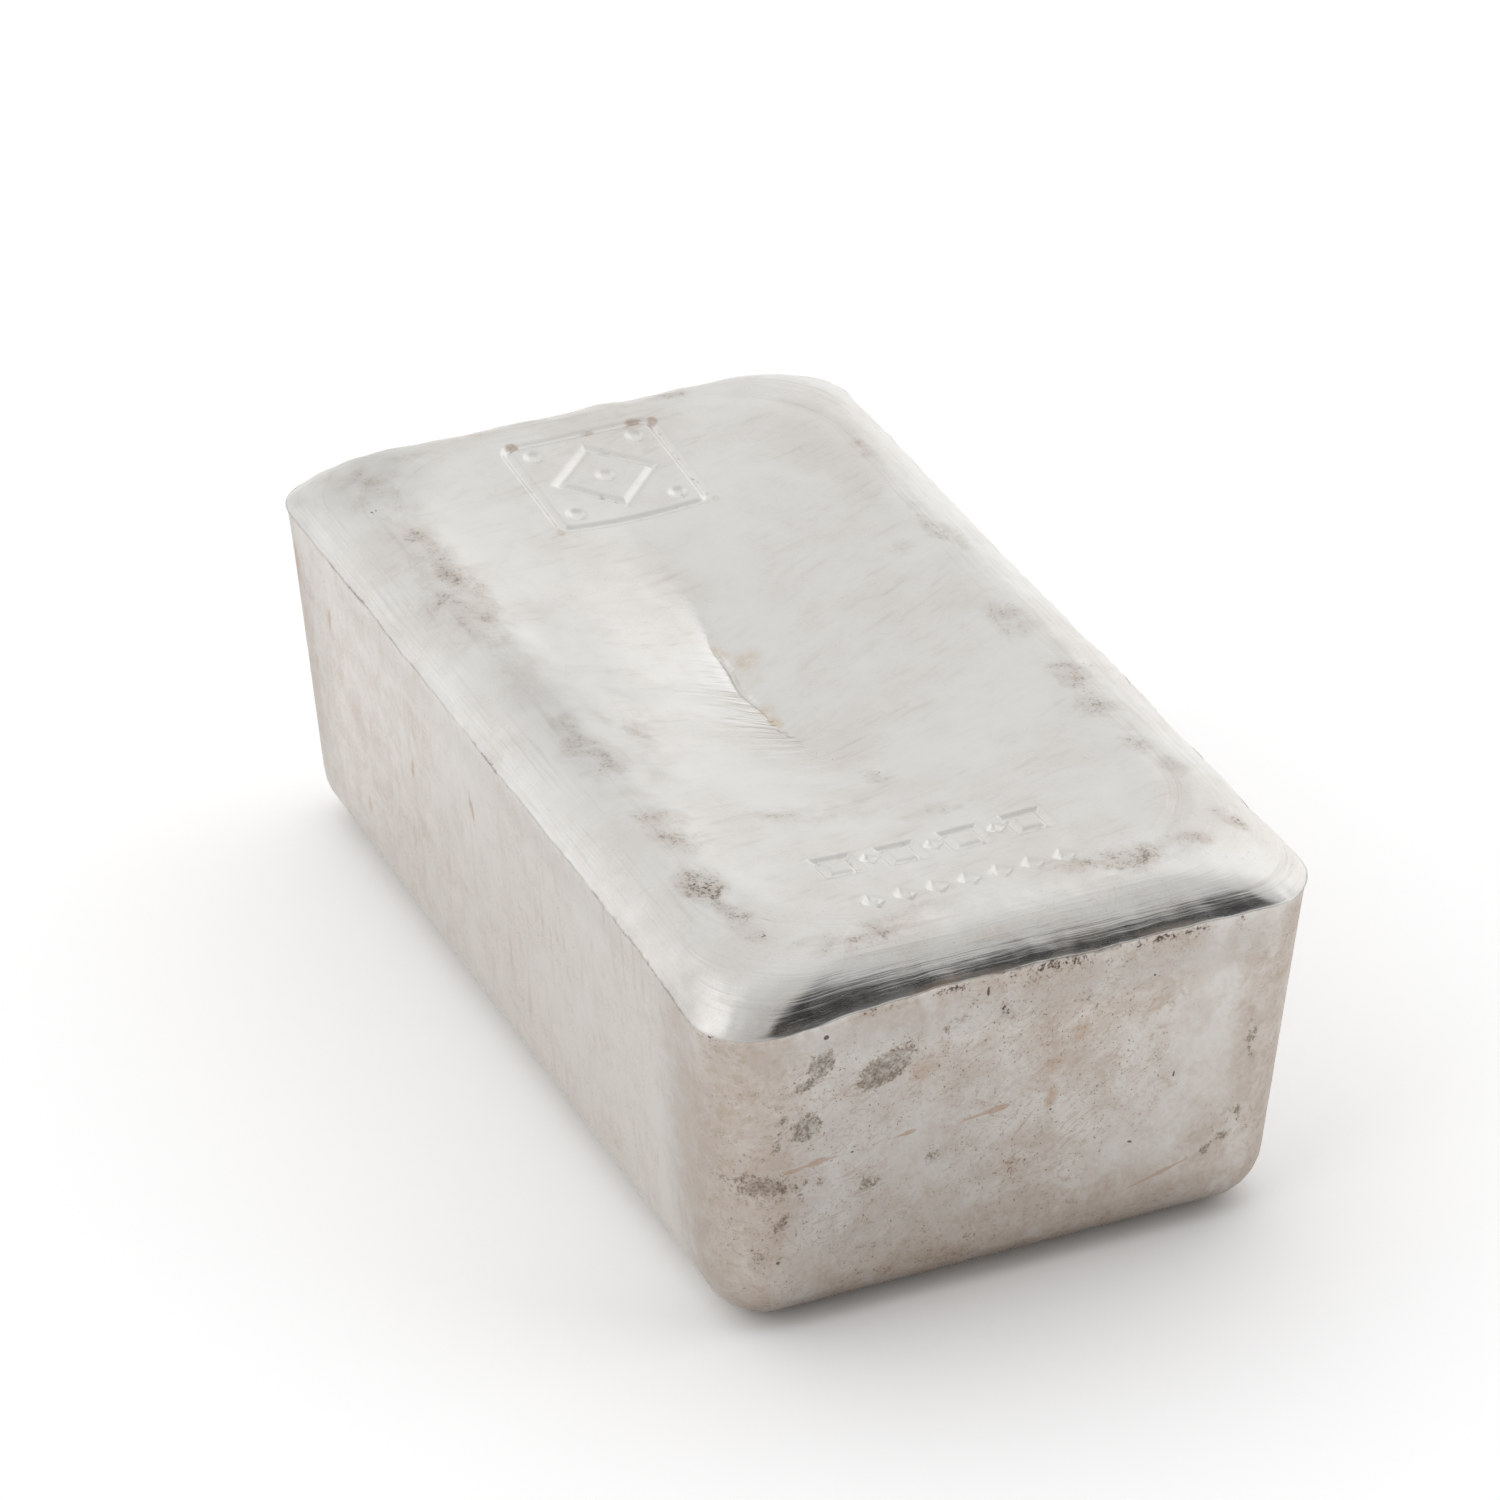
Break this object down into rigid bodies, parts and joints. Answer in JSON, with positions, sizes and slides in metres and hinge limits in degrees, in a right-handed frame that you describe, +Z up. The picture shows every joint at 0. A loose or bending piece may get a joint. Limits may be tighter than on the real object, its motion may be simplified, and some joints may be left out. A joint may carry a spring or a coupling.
{
  "type": "metal ingot",
  "caption": "Cast silver ingot with drafted walls, rounded corners, a rolled rim and a hollow top with a sharp shrinkage crease, tarnished and stained.",
  "frame": {"origin": "middle of the flat foot that the bar lies on", "axes": "+X along the length, towards the end that faces the viewer in the picture; +Y across the width; +Z up through the hollow top"},
  "size_m": [0.0816, 0.0454, 0.0291],
  "materials": {
    "silver": "satin"
  },
  "bodies": {
    "root": {"ingot": "silver"}
  },
  "joints": []
}
